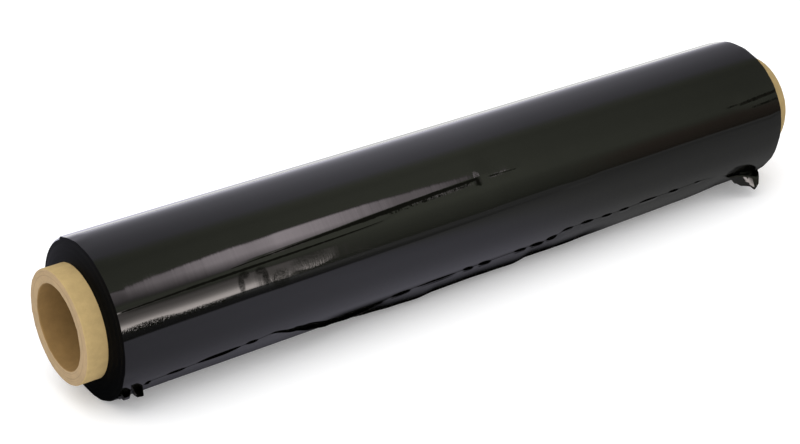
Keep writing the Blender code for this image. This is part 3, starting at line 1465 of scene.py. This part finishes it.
@dataclass(frozen=True)
class Surroundings:
    """The studio round the roll: walls of uneven brightness and two bright light panels.

    Directions are given as the roll's gloss meets them. One number is the climb, in
    degrees round the roll's axis from level in front (0) over the top (90) to level
    behind (180). The other is the run, which grows as the direction leans along the
    axis, either way. A seen angle is where on the roll's surface a climb shows.
    """

    seen_offset: float = 31.7
    run_scale: float = 0.897
    run_shift: float = -0.619
    fill: tuple[float, float, float] = (0.88, 0.88, 0.89)
    front_tint: tuple[float, float, float] = (1.0, 1.05, 0.83)
    back_tint: tuple[float, float, float] = (1.0, 0.98, 1.12)
    low_tint: tuple[float, float, float] = (1.0, 0.75, 0.60)
    upper_tint: tuple[float, float, float] = (1.0, 0.885, 0.93)
    lower_tint: tuple[float, float, float] = (1.0, 0.91, 0.87)
    walls: tuple[tuple[float, float], ...] = (
        (-30.0, 0.20), (-12.0, 0.17), (0.0, 0.22), (7.0, 0.33), (15.0, 0.42), (24.0, 0.55),
        (32.0, 0.72), (45.0, 0.70), (58.0, 0.62), (70.0, 0.57), (80.0, 0.54), (90.0, 0.47),
        (99.0, 0.52), (105.0, 0.60), (110.0, 0.70), (120.0, 0.75), (130.0, 0.78), (140.0, 0.79),
        (150.0, 0.75), (160.0, 0.82), (168.0, 1.05), (174.0, 1.5), (180.0, 2.1),
    )
    walls_along: tuple[tuple[float, float], ...] = (
        (-0.24, 0.80), (-0.20, 0.85), (-0.15, 0.95), (-0.10, 1.0), (-0.05, 1.0), (0.0, 0.97),
        (0.05, 0.82), (0.10, 0.75), (0.15, 0.68), (0.20, 0.60), (0.235, 0.55),
    )
    upper_along: tuple[tuple[float, float], ...] = (
        (-0.270, 1.7), (-0.245, 2.1), (-0.225, 2.9), (-0.205, 3.6), (-0.185, 4.9), (-0.167, 5.3),
        (-0.150, 6.4), (-0.135, 6.0), (-0.120, 5.55), (-0.100, 4.7), (-0.080, 3.5), (-0.060, 2.4),
        (-0.040, 2.4), (-0.020, 1.8), (-0.004, 0.9), (0.006, 0.0),
    )
    upper_fade: tuple[tuple[float, float], ...] = (
        (31.5, 0.0), (33.0, 0.12), (35.0, 0.28), (38.0, 0.62), (41.0, 1.0),
    )
    lower_rows: tuple[tuple[float, float], ...] = (
        (14.0, 0.0), (15.0, 2.5), (16.0, 8.0), (17.0, 10.0), (18.0, 9.0), (19.0, 7.5), (20.0, 5.0),
        (21.0, 3.4), (22.0, 2.5), (23.0, 1.9), (24.0, 1.4), (25.0, 1.3), (26.0, 1.05), (27.0, 0.6),
        (28.0, 0.1), (28.6, 0.0),
    )
    spill_along: tuple[tuple[float, float], ...] = (
        (-0.1590, 0.0), (-0.1575, 3.2), (-0.1560, 0.2), (-0.1470, 0.3), (-0.1430, 1.7),
        (-0.1130, 1.0), (-0.1105, 0.35), (-0.0980, 0.0),
    )

    def build(self) -> None:
        """Make the world."""
        world = bpy.data.worlds.new("studio")
        bpy.context.scene.world = world
        world.use_nodes = True
        graph = Graph(world.node_tree)
        coordinates = graph.node("ShaderNodeTexCoord")
        parts = graph.node("ShaderNodeSeparateXYZ", None, {0: coordinates.outputs["Generated"]})
        east, north, height = (Wire(graph, socket) for socket in parts.outputs)
        across = (north * north + height * height) ** 0.5
        run = east.absolute() / across.greater(0.001) * self.run_scale + self.run_shift
        climb = graph.maths("ARCTAN2", height, -north) * math.degrees(1.0)
        seen = (climb + self.seen_offset) * 0.5
        colour = self.wall_colour(graph, climb, run)
        colour = self.add_panel(graph, colour, self.upper_panel(graph, seen, run), self.upper_tint)
        colour = self.add_panel(graph, colour, self.lower_panel(graph, seen, run), self.lower_tint)
        rays = graph.node("ShaderNodeLightPath")
        shown = graph.blend(rays.outputs["Is Glossy Ray"], (*self.fill, 1.0), colour)
        sky = graph.node("ShaderNodeBackground", None, {0: shown, 1: 1.0})
        graph.node("ShaderNodeOutputWorld", None, {"Surface": sky.outputs[0]})

    def wall_colour(self, graph: Graph, climb: Wire, run: Wire) -> Wire:
        """The walls and ceiling.

        Args:
            graph: The world's graph.
            climb: The direction's climb.
            run: The direction's run.

        Returns:
            The colour, with its brightness.
        """
        level = graph.read_off(climb, self.walls) * graph.read_off(run, self.walls_along)
        tint = graph.blend(climb.step_between(96.0, 112.0), (*self.front_tint, 1.0), (*self.back_tint, 1.0))
        low = climb.step_between(30.0, 15.0) * run.step_between(0.05, 0.15)
        return graph.brighten(graph.blend(low, tint, (*self.low_tint, 1.0)), level)

    def upper_panel(self, graph: Graph, seen: Wire, run: Wire) -> Wire:
        """The long upper panel's brightness: an arched top and a straight lower edge.

        Args:
            graph: The world's graph.
            seen: The seen angle.
            run: The direction's run.

        Returns:
            The brightness.
        """
        from_crown = run.greater(-0.250) + 0.115
        top = 48.0 - from_crown * from_crown * 324.0
        foot = (run + 0.172).greater(0.0) * 47.0 + 33.2
        sharp = (seen - foot).step_between(-0.3, 0.3)
        trimmed = run.step_between(-0.200, -0.165)
        within = sharp * trimmed + (1.0 - trimmed)
        return (graph.read_off(run, self.upper_along) * graph.read_off(seen, self.upper_fade)
                * (seen - top).step_between(1.0, -1.0) * within)

    def lower_panel(self, graph: Graph, seen: Wire, run: Wire) -> Wire:
        """The small lower panel's brightness, with the weaker light that spills beside it.

        Args:
            graph: The world's graph.
            seen: The seen angle.
            run: The direction's run.

        Returns:
            The brightness.
        """
        panel = graph.read_off(seen, self.lower_rows) * run.step_between(-0.1460, -0.1500)
        rows = seen.step_between(17.0, 19.0) * seen.step_between(28.0, 26.0)
        return panel + graph.read_off(run, self.spill_along) * rows

    def add_panel(
        self, graph: Graph, base: Wire, level: Wire, tint: tuple[float, float, float]
    ) -> Wire:
        """Put one light panel in front of the walls.

        Args:
            graph: The world's graph.
            base: The colour so far.
            level: The panel's brightness.
            tint: The panel's colour.

        Returns:
            The colour with the panel.
        """
        shining = graph.brighten((*tint, 1.0), level)
        return graph.blend(level.step_between(0.0, 0.8), base, shining)


@dataclass
class Studio:
    """Floor, lights, surroundings and camera."""

    sizes: RollSizes
    floor_size: float = 16.0
    floor_drop: float = 0.0002
    camera_beside_axis: tuple[float, float, float] = (-0.6191, -0.7974, 0.4928)
    look_azimuth: float = 36.23
    look_down: float = 26.69
    lens: float = 81.25
    sensor: float = 36.0
    sun_strength: float = 1.30
    sun_spread: float = 70.0
    sun_from: tuple[float, float, float] = (-0.45, -0.25, 1.0)

    def build(self) -> None:
        """Make the whole set."""
        self.lay_floor()
        self.overhead()
        Surroundings().build()
        self.set_camera()
        bpy.context.scene.view_settings.view_transform = "Standard"

    def lay_floor(self) -> None:
        """Lay the pale floor."""
        Bench.clear_selection()
        bpy.ops.mesh.primitive_plane_add(size=self.floor_size, location=(0, 0, 0))
        floor = Bench.newest("studio_floor")
        flat = Bench.points(floor)
        flat[:, 2] = -self.floor_drop
        Bench.move_points(floor, flat)
        Bench.paint(floor, [PaleFloor().material()])

    def overhead(self) -> None:
        """A broad soft light from above, kept out of the gloss."""
        lamp = bpy.data.lights.new("overhead", "SUN")
        lamp.energy = self.sun_strength
        lamp.angle = math.radians(self.sun_spread)
        holder = bpy.data.objects.new("overhead", lamp)
        bpy.context.scene.collection.objects.link(holder)
        holder.matrix_world = Vector(self.sun_from).to_track_quat("Z", "Y").to_matrix().to_4x4()
        holder.visible_glossy = False

    def set_camera(self) -> None:
        """Place the camera and make it the scene's."""
        camera = bpy.data.cameras.new("camera")
        camera.lens = self.lens
        camera.sensor_width = self.sensor
        camera.clip_end = 50.0
        holder = bpy.data.objects.new("camera", camera)
        bpy.context.scene.collection.objects.link(holder)
        x, y, z = self.camera_beside_axis
        holder.location = (x, y, z + self.sizes.axis_height)
        holder.rotation_euler = (math.radians(90 - self.look_down), 0.0, math.radians(-self.look_azimuth))
        bpy.context.scene.camera = holder


def main() -> None:
    """Build the roll's pieces and the studio in order."""
    logging.basicConfig(level=logging.INFO, format="%(name)s: %(message)s")
    sizes = RollSizes.from_frame()
    surface = FilmSurface(sizes)
    PaperCore(sizes).build()
    WoundFilm(sizes, surface).build()
    SlackEnd(sizes, surface).build()
    Studio(sizes).build()


if __name__ == "__main__":
    main()
